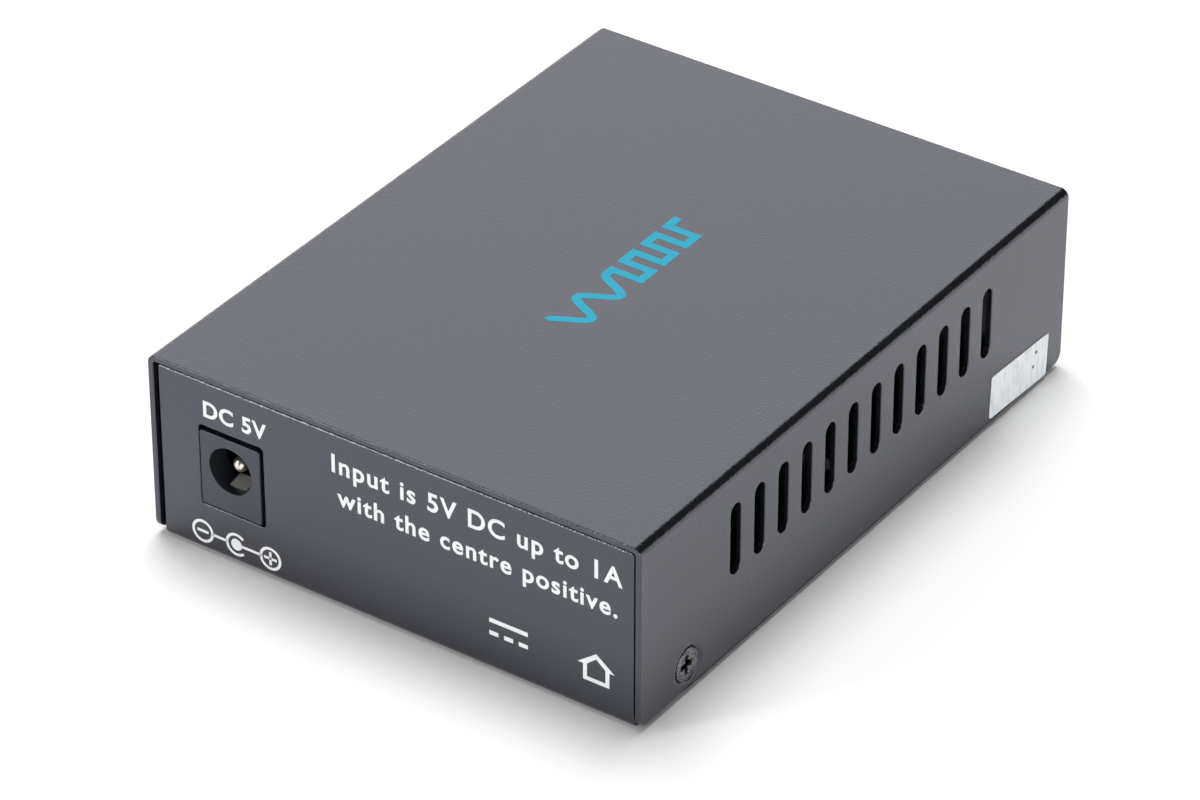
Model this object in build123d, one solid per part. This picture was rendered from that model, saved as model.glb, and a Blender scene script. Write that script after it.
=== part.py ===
from build123d import *
import os
from math import cos, radians, sin, sqrt

# Fibre media converter, in millimetres. The origin is the middle of the underside, +Z is up,
# the rear panel with the power inlet faces +Y and the front panel with the ports faces -Y.

# Housing, folded from steel sheet
case_width = 71.0
case_depth = 94.0
case_height = 26.0
sheet = 0.8
bend_inside = 0.35        # inner radius of every fold

# Cover
cover_lift = 0.75         # lower edge of the side walls above the table
cover_corner = 1.5        # rounding of the side walls' lower corners
slot_count = 12
slot_pitch = 5.05
slot_width = 2.15
slot_length = 9.85
slot_middle = 16.35       # height of the middle of the row of slots
slot_row_shift = 0.3      # middle of the row, towards the front

# Tray with the front and rear panels
panel_recess = 0.4        # panel faces behind the ends of the cover
panel_gap = 0.4           # from the edges of the panels to the cover
ear_length = 11.0         # upright ears that take the cover screws
ear_top = 8.0
ear_corner = 1.5
ear_relief = 1.0          # notch at each end of an ear's fold

# Cover screws, countersunk, in pressed dimples of the cover
screw_inset = 9.9         # from the ends of the cover
screw_height = 3.95
screw_radius = 1.25
screw_length = 4.0
screw_head_radius = 2.2
screw_head_rim = 0.1
screw_head_sink = 0.2     # face of the head below the cover's face
screw_fit = 0.05          # radial room of each screw and its seat
dish_depth = 0.45         # rounded mouth of a dimple
dimple_land = 0.1         # straight end of a dimple's hole, at the ear
recess_span = 2.6         # cross recess of the screw heads
recess_width = 0.75
recess_depth = 0.9
recess_draft = 8.0        # degrees

# Circuit board on standoffs
board_thickness = 1.6
board_end_gap = 0.6       # to the panels
board_side_gap = 0.4      # to the tips of the cover screws
board_corner = 1.5
standoff_height = 4.2
standoff_radius = 2.6
spigot_radius = 2.0
spigot_short = 0.1        # end of the spigot above the underside
standoff_inset = 3.4      # from the long edges of the board
standoff_clear = 5.0      # from the inlet and the fibre port, along the depth
board_screw_radius = 1.5
board_screw_length = 5.0
board_screw_head_radius = 2.75
board_screw_head_height = 1.8
solder_length = 1.2       # terminals below the board
terminal_fit = 0.1        # room round each terminal in the board

# Power inlet
jack_width = 9.0
jack_height = 10.6
jack_length = 14.4
jack_inset = 11.55        # axis from the side of the housing
jack_setback = 0.05       # face behind the rear panel's face
jack_foot = 0.5           # height of the feet under the body
jack_foot_width = 1.2
jack_flange = 3.4         # square front block
jack_waist = 0.4          # rear part narrower than the block, each side
jack_edge = 0.15          # rounding of the face's edges
jack_corner = 0.45        # rounding of the front block's long corners
jack_bore_radius = 3.15
jack_bore_height = 6.1    # axis above the bottom of the body
jack_bore_depth = 10.5
jack_room_side = 0.6      # opening in the panel wider than the body, towards the middle
jack_room_top = 0.75
jack_room_tight = 0.05    # at the other side and below
jack_opening_corner = 0.5
pin_radius = 1.0
pin_root_radius = 1.3     # thicker root in the back wall
pin_setback = 1.2         # tip behind the inlet's face
strip_width = 2.4         # terminals and leaf spring
strip_thickness = 0.35
leaf_setback = 1.4        # front edge of the leaf behind the face
leaf_rise = 0.9           # crown of the leaf above the bottom of the bore
leaf_length = 7.0
leaf_bend = 0.6
leaf_room = 0.15          # round the leaf in its groove

# Copper port
port_margin = 0.9         # ports to the long edges of the board
port_reach = 0.25         # port faces in front of the front panel's face
port_room = 0.2           # round the ports in the front panel
rj45_width = 16.0
rj45_height = 13.4
rj45_length = 21.3
rj45_shield = 0.3
rj45_fit = 0.05           # insert inside its shield
plug_width = 11.9
plug_height = 6.8
plug_depth = 14.0
latch_width = 6.2
latch_height = 1.9
latch_tip_width = 3.4
latch_tip_height = 1.1
plug_roof = 2.4          # from the top of the plug space to the top of the insert
contact_count = 8
contact_pitch = 1.02
contact_width = 0.45
contact_thickness = 0.3
contact_room = 0.12       # round the contacts in the insert
contact_setback = 1.6     # front bend of the contacts behind the insert's face
contact_reach = 8.5       # from the front bend back to the tips
contact_drop = 2.2       # of the tips below the roof of the plug space
contact_rise = 1.0        # straight run above the roof of the plug space
contact_stagger = 2.54    # between the two rows of tails
shield_margin = 0.5       # shield's window round the plug space
shield_tab_width = 1.6
shield_tab_from_front = 9.0

# Fibre port
transceiver_width = 25.4
transceiver_height = 11.0
transceiver_length = 39.0
transceiver_nose = 16.0   # full-height front part
transceiver_step = 1.2    # the rear part is lower
transceiver_edge = 0.5
fibre_pitch = 12.7
fibre_width = 9.2
fibre_height = 7.6
fibre_depth = 13.5
key_width = 2.6
key_height = 1.1
sleeve_radius = 2.1
sleeve_bore = 1.25
sleeve_setback = 6.0      # tips behind the port's face
sleeve_root = 3.0         # held in the wall behind
sleeve_fit = 0.03
clip_plate = 0.9
clip_arm = 0.8            # thickness of the arms
clip_height = 3.2
clip_reach = 6.2
clip_hook = 0.5
clip_side_gap = 0.35      # arms and plate to the walls of the opening
clip_hook_run = 1.2       # slanted tips of the arms
fibre_pin_count = 9
fibre_pin_pitch = 2.54
fibre_pin_size = 0.5
fibre_pin_root = 1.5      # held in the housing
fibre_pin_row = 4.0       # from the rear end
post_radius = 0.9
post_inset = 3.0
post_from_front = 12.0

# Status lamps
led_pitch = 4.6           # between the columns, as many as there is room for
led_port_gap = 0.9        # least room between the columns and the ports
led_radius = 1.5
led_length = 5.2
lens_radius = 2.4         # of the lamps' low domes
led_rows = (2.6, 7.0)     # heights of the lamps above the board
led_fit = 0.05
led_room = 0.15           # round the lamps in the front panel
led_reach = 0.3           # lens tips in front of the front panel
holder_width = 4.0
holder_height = 9.4
holder_length = 6.5
holder_gap = 0.2          # to the front panel

# Chips on the board
chip_middle = 10.0        # middle of the converter chip along the depth
lead_thickness = 0.2
lead_shoulder = 0.35      # straight run out of the package
lead_slope = 0.3          # run of the slanted part
lead_foot = 0.7
chip_lift = 0.1           # packages above the board
chip_size = 10.0
chip_height = 1.4
chip_lead_count = 11      # on each side
chip_lead_pitch = 0.8
chip_lead_width = 0.35
transformer_width = 12.8
transformer_depth = 7.0
transformer_height = 5.6
transformer_lead_count = 8    # on each long side
transformer_lead_pitch = 1.27
transformer_lead_width = 0.5
transformer_clear = 8.0   # middle behind the copper port
memory_width = 3.9
memory_depth = 4.9
memory_height = 1.45
memory_lead_count = 4     # on each side
memory_lead_pitch = 1.27
memory_lead_width = 0.42
memory_step = 16.0        # from the chip's middle
package_edge = 0.25       # bevel of every moulded package
crystal_length = 11.0
crystal_width = 4.6
crystal_height = 3.5
crystal_rim = 0.4
crystal_inset = 10.9      # from the board's left edge
crystal_step = 13.0       # from the chip's middle

# Power parts on the board
capacitor_radius = 4.0
capacitor_height = 11.0
capacitor_bead = 0.3      # depth of the groove round the foot of the can
capacitor_groove_height = 2.0
capacitor_edge = 0.5
capacitor_clear = 1.2     # to the inlet, the board's end and each other
inductor_size = 7.0
inductor_height = 4.2
inductor_corner = 1.6
inductor_drum = 2.6       # radius of the round core on top
inductor_groove = 0.4     # round the core
inductor_clear = 3.4      # to the capacitors
inductor_end_gap = 4.7    # to the board's end
regulator_width = 6.5
regulator_depth = 3.5
regulator_height = 1.6
regulator_tab = 3.0
regulator_lead_count = 3
regulator_lead_pitch = 2.3
regulator_lead_width = 0.75
regulator_step = 11.0     # from the inductor's middle
diode_length = 4.3
diode_width = 2.6
diode_height = 2.1
diode_lead_width = 1.4
diode_shift = 2.6         # from the inlet's axis towards the middle
diode_clear = 5.5         # behind the inlet

# Small two-ended chips, in rows
chip_part_length = 2.0
chip_part_width = 1.25
chip_capacitor_height = 0.9
chip_resistor_height = 0.55
chip_part_pitch = 3.0
capacitor_row_shift = 6.0     # middle of the row from the chip's middle, towards the left
capacitor_row_step = 10.0     # behind the chip's middle
capacitor_row_count = 8
resistor_row_shift = 3.0      # middle of the row from the chip's middle, towards the left
resistor_row_step = 14.0      # in front of the chip's middle
resistor_row_count = 7
port_row_count = 4
port_row_clear = 3.0      # behind the fibre port

# Paper label on the left side wall
label_length = 13.6
label_height = 6.1
label_thickness = 0.1
label_corner = 0.4
label_from_front = 10.45
label_middle = 4.05
label_tilt = 2.7          # degrees, the front end lower

# Places that follow from the sizes above
half_width = case_width / 2
half_depth = case_depth / 2
wall_inner = half_width - sheet
panel_face = half_depth - panel_recess
panel_back = panel_face - sheet
panel_half = wall_inner - panel_gap
panel_top = case_height - sheet - panel_gap
screw_y = half_depth - screw_inset
screw_hole = screw_radius + screw_fit
seat_radius = screw_head_radius + screw_fit
seat_start = screw_head_sink + screw_head_rim
seat_end = seat_start + seat_radius - screw_hole
dimple_depth = seat_end + dimple_land
dish_radius = dish_depth / (1 - cos(radians(45)))
dish_mouth = seat_radius - (dish_depth - seat_start)
dimple_radius = dish_mouth + dish_radius * sin(radians(45))
ear_face = half_width - dimple_depth
board_half = half_width - screw_head_sink - screw_length - board_side_gap
board_end = panel_back - board_end_gap
board_bottom = sheet + standoff_height
board_top = board_bottom + board_thickness
terminal_end = board_bottom - solder_length
jack_x = half_width - jack_inset
jack_face = panel_face - jack_setback
jack_back = jack_face - jack_length
jack_bore_end = jack_face - jack_bore_depth
jack_bottom = board_top + jack_foot
jack_axis = jack_bottom + jack_bore_height
port_face = -panel_face - port_reach
rj45_x = -(board_half - port_margin - rj45_width / 2)
rj45_back = port_face + rj45_length
plug_top = board_top + rj45_height - rj45_shield - rj45_fit - plug_roof
transceiver_x = board_half - port_margin - transceiver_width / 2
transceiver_back = port_face + transceiver_length
fibre_axis = board_top + transceiver_height / 2
led_space = (rj45_x + rj45_width / 2, transceiver_x - transceiver_width / 2)
led_middle = (led_space[0] + led_space[1]) / 2
led_column_count = int((led_space[1] - led_space[0] - 2 * led_port_gap) / led_pitch)
standoff_x = board_half - standoff_inset
standoff_rows = (transceiver_back + standoff_clear, jack_back - standoff_clear)
standoff_places = [(side * standoff_x, row) for side in (-1, 1) for row in standoff_rows]
led_tip = -panel_face - led_reach
contact_run = plug_top + contact_rise
contact_front = port_face + rj45_shield + rj45_fit + contact_setback
leaf_front = jack_face - leaf_setback
leaf_back = leaf_front - leaf_length
leaf_floor = jack_axis - jack_bore_radius
tail_rows = (rj45_back - 2 * contact_stagger, rj45_back - contact_stagger)
transformer_place = (rj45_x, rj45_back + transformer_clear)
crystal_x = crystal_inset - board_half
chip_x = crystal_x + crystal_step
memory_x = chip_x + memory_step
capacitor_row = (chip_x - capacitor_row_shift, chip_middle + capacitor_row_step)
resistor_row = (chip_x - resistor_row_shift, chip_middle - resistor_row_step)
port_row = (transceiver_x, transceiver_back + port_row_clear)
diode_place = (jack_x - diode_shift, jack_back - diode_clear)
capacitor_x = jack_x - jack_width / 2 - capacitor_clear - capacitor_radius
inductor_x = capacitor_x - capacitor_radius - inductor_clear - inductor_size / 2
inductor_y = board_end - inductor_end_gap - inductor_size / 2
chip_place = (chip_x, chip_middle)
memory_place = (memory_x, chip_middle)
regulator_place = (inductor_x, inductor_y - regulator_step)


def folded(points, inside_radius, thickness):
    """Section of a folded strip, drawn along the middle of its thickness"""
    line = FilletPolyline(*points, radius=inside_radius + thickness / 2)
    return trace(line, thickness)


def creased(points, thickness):
    """Section of a thin strip with sharp folds, drawn along the middle of its thickness"""
    corners = [Vector(*point) for point in points]
    normals = [(end - start).normalized().rotate(Axis.Z, 90) for start, end in zip(corners, corners[1:])]
    steps = []
    for before, after in zip(normals[:1] + normals, normals + normals[-1:]):
        steps.append((before + after) * (thickness / 2 / (1 + before.dot(after))))
    left = [corner + step for corner, step in zip(corners, steps)]
    right = [corner - step for corner, step in zip(corners, steps)]
    return Polygon(*left, *reversed(right), align=None)


def turned(points):
    """Solid of revolution about Z, from points of radius and height"""
    return revolve(Plane.XZ * Polygon(*points, align=None), Axis.Z)


def block(x_range, y_range, z_range):
    """Box between two limits along each axis"""
    ranges = (x_range, y_range, z_range)
    sizes = [high - low for low, high in ranges]
    middles = [(low + high) / 2 for low, high in ranges]
    return Pos(*middles) * Box(*sizes)


def across(middle, width):
    """Limits of a width about its middle"""
    return (middle - width / 2, middle + width / 2)


def lengthwise(section, y_range):
    """Solid of a section drawn across and up, between two limits along the depth"""
    low, high = y_range
    return Pos(0, high, 0) * extrude(Plane.XZ * section, high - low, dir=(0, -1, 0))


def crosswise(section, x_range):
    """Solid of a section drawn along the depth and up, between two limits across"""
    low, high = x_range
    return Pos(low, 0, 0) * extrude(Plane.YZ * section, high - low, dir=(1, 0, 0))


def side_places():
    """Planes on the cover's side faces at its four screws, looking inwards"""
    return [
        Plane(origin=(side * half_width, end * screw_y, screw_height), z_dir=(-side, 0, 0))
        for side in (-1, 1)
        for end in (-1, 1)
    ]


def cross_recess():
    """Tapered cross below z = 0, as the driver's point leaves it"""
    bar = Rectangle(recess_span, recess_width)
    return extrude(bar + Rot(0, 0, 90) * bar, -recess_depth, taper=recess_draft)


def make_cover():
    """Roof and side walls in one sheet, with slots and a pressed dimple for each screw"""
    side = half_width - sheet / 2
    roof = case_height - sheet / 2
    section = folded([(-side, cover_lift), (-side, roof), (side, roof), (side, cover_lift)],
                     bend_inside, sheet)
    cover = extrude(Plane.XZ * section, half_depth, both=True)
    lower_corners = cover.edges().filter_by(Axis.X).group_by(Axis.Z)[0]
    cover = fillet(lower_corners, cover_corner)
    row = Pos(-slot_row_shift, slot_middle) * GridLocations(slot_pitch, 1, slot_count, 1)
    slots = Sketch() + row * SlotOverall(slot_length, slot_width, rotation=90)
    cover -= extrude(Plane.YZ * slots, case_width, both=True)
    boss = turned([(0, sheet / 2), (dimple_radius, sheet / 2), (dimple_radius, sheet),
                   (screw_hole + sheet, dimple_depth), (0, dimple_depth)])
    for place in side_places():
        cover += place * boss
        cover -= place * screw_seat()
    return cover


def screw_seat():
    """Space of a dimple: a rounded mouth, the head's cone and the hole"""
    half_turn = radians(45) / 2
    arc_middle = (dimple_radius - dish_radius * sin(half_turn),
                  dish_radius * (1 - cos(half_turn)))
    end = dimple_depth + sheet
    outline = Polyline((dish_mouth, dish_depth), (screw_hole, seat_end), (screw_hole, end),
                       (0, end), (0, 0), (dimple_radius, 0))
    mouth = ThreePointArc((dimple_radius, 0), arc_middle, (dish_mouth, dish_depth))
    return revolve(Plane.XZ * make_face(outline + mouth), Axis.Z)


def make_tray():
    """Bottom, front panel, rear panel and four ears in one sheet"""
    wall = panel_face - sheet / 2
    section = folded([(-wall, panel_top), (-wall, sheet / 2), (wall, sheet / 2), (wall, panel_top)],
                     bend_inside, sheet)
    tray = extrude(Plane.YZ * section, panel_half, both=True)
    fold_line = ear_face - sheet - bend_inside
    for end in (-1, 1):
        ear = make_ear().moved(Pos(0, end * screw_y, 0))
        notch_length = across(end * screw_y, ear_length + 2 * ear_relief)
        notch = block((fold_line, panel_half), notch_length, (0, sheet))
        tray -= [notch, mirror(notch, Plane.YZ)]
        tray += [ear, mirror(ear, Plane.YZ)]
    for place in side_places():
        tray -= place * Pos(0, 0, dimple_depth) * Cylinder(screw_hole, 3 * sheet)
    for x, y in standoff_places:
        tray -= Pos(x, y, 0) * Cylinder(spigot_radius + screw_fit, 3 * sheet)
    return tray - panel_openings()


def make_ear():
    """One upright ear at the right edge of the tray, about y = 0"""
    upright = ear_face - sheet / 2
    root = ear_face - 2 * sheet - 2 * bend_inside
    section = folded([(root, sheet / 2), (upright, sheet / 2), (upright, ear_top)], bend_inside, sheet)
    ear = extrude(Plane.XZ * section, ear_length / 2, both=True)
    upper_corners = ear.edges().filter_by(Axis.X).group_by(Axis.Z)[-1]
    return fillet(upper_corners, ear_corner)


def panel_openings():
    """Cuts through the front panel for ports and lamps and the rear panel for the inlet"""
    front = across(-panel_face, 4 * sheet)
    rear = across(panel_face, 4 * sheet)
    copper = block(across(rj45_x, rj45_width + 2 * port_room), front,
                   (board_top - port_room, board_top + rj45_height + port_room))
    fibre = block(across(transceiver_x, transceiver_width + 2 * port_room), front,
                  (board_top - port_room, board_top + transceiver_height + port_room))
    inlet = block((jack_x - jack_width / 2 - jack_room_side, jack_x + jack_width / 2 + jack_room_tight), rear,
                  (jack_bottom - jack_room_tight, jack_bottom + jack_height + jack_room_top))
    inlet = fillet(inlet.edges().filter_by(Axis.Y), jack_opening_corner)
    lamp = Rot(90, 0, 0) * Cylinder(led_radius + led_room, 4 * sheet)
    lamps = [Pos(x, -panel_face, z) * lamp for x, z in led_places()]
    return [copper, fibre, inlet] + lamps


def make_cover_screws():
    """Countersunk screws in the cover's dimples and the tray's ears"""
    face = screw_head_sink
    rim = seat_start
    neck = rim + screw_head_radius - screw_radius
    tip = face + screw_length
    bevel = screw_radius / 4
    screw = turned([(0, face), (screw_head_radius, face), (screw_head_radius, rim), (screw_radius, neck),
                    (screw_radius, tip - bevel), (screw_radius - bevel, tip), (0, tip)])
    screw -= Pos(0, 0, face) * Rot(180, 0, 0) * cross_recess()
    return [place * screw for place in side_places()]


def make_standoffs():
    """Pillars clinched into the tray, with a hole for the board's screw"""
    low = spigot_short
    pillar = turned([(board_screw_radius + screw_fit, low), (spigot_radius, low), (spigot_radius, sheet),
                     (standoff_radius, sheet), (standoff_radius, board_bottom),
                     (board_screw_radius + screw_fit, board_bottom)])
    return [Pos(x, y, 0) * pillar for x, y in standoff_places]


def make_board_screws():
    """Pan-head screws that hold the board on its standoffs"""
    top = board_top + board_screw_head_height
    edge = board_screw_head_height / 2
    tip = board_top - board_screw_length
    screw = turned([(0, tip), (board_screw_radius, tip), (board_screw_radius, board_top),
                    (board_screw_head_radius, board_top), (board_screw_head_radius, top - edge),
                    (board_screw_head_radius - edge, top), (0, top)])
    screw -= Pos(0, 0, top) * cross_recess()
    return [Pos(x, y, 0) * screw for x, y in standoff_places]


def make_board():
    """Laminate with holes for its screws and for every terminal that passes through"""
    outline = RectangleRounded(2 * board_half, 2 * board_end, board_corner)
    board = Pos(0, 0, board_bottom) * extrude(outline, board_thickness)
    middle = board_bottom + board_thickness / 2
    deep = 2 * board_thickness
    for x, y in standoff_places:
        board -= Pos(x, y, middle) * Cylinder(board_screw_radius + screw_fit, deep)
    for x, y in contact_tails():
        board -= Pos(x, y, middle) * Box(contact_width + 2 * terminal_fit,
                                         contact_thickness + 2 * terminal_fit, deep)
    for x, y in fibre_pin_places():
        size = fibre_pin_size + 2 * terminal_fit
        board -= Pos(x, y, middle) * Box(size, size, deep)
    for x, y in post_places():
        board -= Pos(x, y, middle) * Cylinder(post_radius + terminal_fit, deep)
    for x, y in shield_tab_places():
        board -= Pos(x, y, middle) * Box(rj45_shield + 2 * terminal_fit,
                                         shield_tab_width + 2 * terminal_fit, deep)
    for y in (jack_back - strip_thickness / 2, leaf_back - strip_thickness / 2):
        board -= Pos(jack_x, y, middle) * Box(strip_width + 2 * terminal_fit,
                                              strip_thickness + 2 * terminal_fit, deep)
    return board


def make_jack_housing():
    """Moulded inlet: a square front block, an arched rear part, the bore and two feet"""
    shoulder = jack_face - jack_flange
    front = block(across(jack_x, jack_width), (shoulder, jack_face), (jack_bottom, jack_bottom + jack_height))
    front = fillet(front.edges().filter_by(Axis.Y), jack_corner)
    front = fillet(front.edges().group_by(Axis.Y)[-1], jack_edge)
    arch_radius = jack_width / 2 - jack_waist
    arch = Pos(jack_x, jack_bottom + jack_bore_height / 2) * Rectangle(2 * arch_radius, jack_bore_height)
    arch += Pos(jack_x, jack_axis) * Circle(arch_radius)
    housing = front + lengthwise(arch, (jack_back, shoulder))
    for side in (-1, 1):
        foot = across(jack_x + side * (arch_radius - jack_foot_width / 2), jack_foot_width)
        housing += block(foot, (jack_back, board_end), (board_top, jack_bottom))
    bore = Pos(jack_x, jack_axis) * Circle(jack_bore_radius)
    housing -= lengthwise(bore, (jack_bore_end, jack_face))
    root_hole = Pos(jack_x, jack_axis) * Circle(pin_root_radius + screw_fit)
    housing -= lengthwise(root_hole, (jack_back, jack_bore_end))
    groove_floor = leaf_floor - strip_thickness - leaf_room
    groove = Polygon((leaf_front + leaf_room, jack_axis), (leaf_front + leaf_room, groove_floor),
                     (leaf_back + leaf_room, groove_floor), (leaf_back + leaf_room, jack_bottom),
                     (leaf_back - strip_thickness - leaf_room, jack_bottom),
                     (leaf_back - strip_thickness - leaf_room, jack_axis), align=None)
    return housing - crosswise(groove, across(jack_x, strip_width + 2 * leaf_room))


def make_jack_pin():
    """Round centre pin with a domed tip, riveted to its terminal behind the inlet"""
    dome = jack_face - pin_setback - pin_radius
    rivet = jack_back - 2 * strip_thickness
    pin = lengthwise(Pos(jack_x, jack_axis) * Circle(pin_root_radius), (rivet, jack_bore_end))
    pin += lengthwise(Pos(jack_x, jack_axis) * Circle(pin_radius), (jack_bore_end, dome))
    pin += Pos(jack_x, dome, jack_axis) * Sphere(pin_radius)
    return pin + block(across(jack_x, strip_width), (jack_back - strip_thickness, jack_back),
                       (terminal_end, jack_axis + strip_width / 2))


def make_jack_spring():
    """Leaf that presses on the plug's sleeve, bent down through the board"""
    leg = leaf_back - strip_thickness / 2
    crown = leaf_front - leaf_length / 2
    line = FilletPolyline((leaf_front, leaf_floor), (crown, leaf_floor + leaf_rise), (leg, leaf_floor),
                          (leg, terminal_end), radius=leaf_bend)
    return crosswise(trace(line, strip_thickness), across(jack_x, strip_width))


def make_rj45_shield():
    """Tinned sheet box round the copper port, open below and at the plug, with two tabs"""
    outside = block(across(rj45_x, rj45_width), (port_face, rj45_back), (board_top, board_top + rj45_height))
    outside = fillet(outside.edges().filter_by(Axis.Y).group_by(Axis.Z)[-1], rj45_shield)
    inside = block(across(rj45_x, rj45_width - 2 * rj45_shield),
                   (port_face + rj45_shield, rj45_back - rj45_shield),
                   (board_top, board_top + rj45_height - rj45_shield))
    window = block(across(rj45_x, plug_width + 2 * shield_margin), (port_face, port_face + rj45_shield),
                   (board_top, plug_top + shield_margin))
    shield = outside - inside - window
    for x, y in shield_tab_places():
        shield += block(across(x, rj45_shield), across(y, shield_tab_width), (terminal_end, board_top))
    return shield


def make_rj45_insert():
    """Moulded block with the plug's space, its latch channel and a groove for each contact"""
    front = port_face + rj45_shield + rj45_fit
    insert = block(across(rj45_x, rj45_width - 2 * (rj45_shield + rj45_fit)),
                   (front, rj45_back - rj45_shield - rj45_fit), (board_top, plug_top + plug_roof))
    latch_top = plug_top - plug_height
    plug = Pos(rj45_x, plug_top - plug_height / 2) * Rectangle(plug_width, plug_height)
    plug += Pos(rj45_x, latch_top - latch_height / 2) * Rectangle(latch_width, latch_height)
    plug += Pos(rj45_x, latch_top - latch_height - latch_tip_height / 2) * Rectangle(latch_tip_width,
                                                                                    latch_tip_height)
    insert -= lengthwise(plug, (front, front + plug_depth))
    room = contact_thickness / 2 + contact_room
    for x, tail in contact_tails():
        groove = Polygon((contact_front - room, plug_top), (contact_front - room, contact_run + room),
                         (tail + room, contact_run + room), (tail + room, board_top),
                         (tail - room, board_top), (tail - room, contact_run - room),
                         (front + plug_depth, contact_run - room), (front + plug_depth, plug_top), align=None)
        insert -= crosswise(groove, across(x, contact_width + 2 * contact_room))
    return insert


def make_rj45_contacts():
    """Spring wires: up from the board, forward along the roof and back down towards the plug"""
    contacts = []
    for x, tail in contact_tails():
        wire = creased([(tail, terminal_end), (tail, contact_run), (contact_front, contact_run),
                        (contact_front, plug_top), (contact_front + contact_reach, plug_top - contact_drop)],
                       contact_thickness)
        contacts.append(crosswise(wire, across(x, contact_width)))
    return contacts


def make_transceiver_housing():
    """Moulded fibre port: a full-height nose with two keyed openings and a lower rear part"""
    left_right = across(transceiver_x, transceiver_width)
    shoulder = port_face + transceiver_nose
    top = board_top + transceiver_height
    nose = block(left_right, (port_face, shoulder), (board_top, top))
    nose = fillet(nose.edges().filter_by(Axis.Y), transceiver_edge)
    rear = block(left_right, (shoulder, transceiver_back), (board_top, top - transceiver_step))
    rear = fillet(rear.edges().filter_by(Axis.Y), transceiver_edge)
    housing = nose + rear
    back = port_face + fibre_depth
    for x in fibre_axes():
        opening = Pos(x, fibre_axis) * Rectangle(fibre_width, fibre_height)
        opening += Pos(x, fibre_axis + fibre_height / 2 + key_height / 2) * Rectangle(key_width, key_height)
        housing -= lengthwise(opening, (port_face, back))
        root = Pos(x, fibre_axis) * Circle(sleeve_radius + sleeve_fit)
        housing -= lengthwise(root, (back, back + sleeve_root))
    for x, y in post_places():
        housing += Pos(x, y, (terminal_end + board_top) / 2) * Cylinder(post_radius, board_top - terminal_end)
    for x, y in fibre_pin_places():
        hole = fibre_pin_size + 2 * screw_fit
        housing -= block(across(x, hole), across(y, hole), (board_top, board_top + fibre_pin_root))
    return housing


def make_transceiver_clips():
    """Hooked arms that hold each fibre plug, on a plate at the back of its opening"""
    back = port_face + fibre_depth
    plate = back - clip_plate
    tip = plate - clip_reach
    outer = fibre_width / 2 - clip_side_gap
    inner = outer - clip_arm
    hook = inner - clip_hook
    hook_back = tip + clip_hook_run
    outline = Polygon((inner, plate), (inner, hook_back), (hook, hook_back), (outer, tip), (outer, plate),
                      align=None)
    arm = Pos(0, 0, fibre_axis - clip_height / 2) * extrude(outline, clip_height, dir=(0, 0, 1))
    clip = block((-outer, outer), (plate, back), across(fibre_axis, fibre_height - 2 * clip_side_gap))
    clip += [arm, mirror(arm, Plane.YZ)]
    clip -= lengthwise(Pos(0, fibre_axis) * Circle(sleeve_radius + sleeve_fit), (plate, back))
    return [Pos(x, 0, 0) * clip for x in fibre_axes()]


def make_transceiver_sleeves():
    """Tubes that line up the fibres' ends"""
    ring = Circle(sleeve_radius) - Circle(sleeve_bore)
    ends = (port_face + sleeve_setback, port_face + fibre_depth + sleeve_root)
    return [lengthwise(Pos(x, fibre_axis) * ring, ends) for x in fibre_axes()]


def make_transceiver_pins():
    """Square pins in one row through the board"""
    ends = (terminal_end, board_top + fibre_pin_root)
    return [block(across(x, fibre_pin_size), across(y, fibre_pin_size), ends) for x, y in fibre_pin_places()]


def make_led_holders():
    """Moulded blocks behind the front panel, each with two lamps one above the other"""
    front = holder_gap - panel_back
    up = (board_top, board_top + holder_height)
    holders = []
    for x in led_columns():
        holder = block(across(x, holder_width), (front, front + holder_length), up)
        for row in led_rows:
            bore = Pos(x, board_top + row) * Circle(led_radius + led_fit)
            holder -= lengthwise(bore, (front, led_tip + led_length))
        holders.append(holder)
    return holders


def make_status_leds():
    """Round lamps with low domes that reach through the front panel"""
    sag = lens_radius - sqrt(lens_radius**2 - led_radius**2)
    outline = Polyline((0, 0), (0, led_length), (led_radius, led_length), (led_radius, sag))
    dome = RadiusArc((led_radius, sag), (0, 0), lens_radius)
    lamp = Rot(-90, 0, 0) * revolve(Plane.XZ * make_face(outline + dome), Axis.Z)
    return [Pos(x, led_tip, z) * lamp for x, z in led_places()]


def package(place, width, depth, height):
    """Moulded package with bevelled edges, just above the board"""
    x, y = place
    bottom = board_top + chip_lift
    body = block(across(x, width), across(y, depth), (bottom, bottom + height))
    levels = body.edges().group_by(Axis.Z)
    return chamfer(levels[0] + levels[-1], package_edge)


def gull_wings(place, half_size, height, width, pitch, count, turns):
    """Leads of a package: on each turned side a row of strips, out, down and out along the board"""
    x, y = place
    rise = chip_lift + height / 2
    sole = lead_thickness / 2
    bend = half_size + lead_shoulder
    heel = bend + lead_slope
    strip = creased([(half_size, rise), (bend, rise), (heel, sole), (heel + lead_foot, sole)], lead_thickness)
    lead = extrude(Plane.XZ * strip, width / 2, both=True)
    return [Pos(x, y, board_top) * Rot(0, 0, turn) * spot * lead
            for turn in turns for spot in GridLocations(1, pitch, 1, count)]


def make_crystal():
    """Pressed can with round ends and a flange at its foot"""
    flange = extrude(SlotOverall(crystal_length, crystal_width, rotation=90), crystal_rim)
    can = SlotOverall(crystal_length - 2 * crystal_rim, crystal_width - 2 * crystal_rim, rotation=90)
    can = extrude(can, crystal_height)
    can = chamfer(can.edges().group_by(Axis.Z)[-1], crystal_rim)
    return Pos(crystal_x, chip_middle, board_top) * (flange + can)


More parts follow.
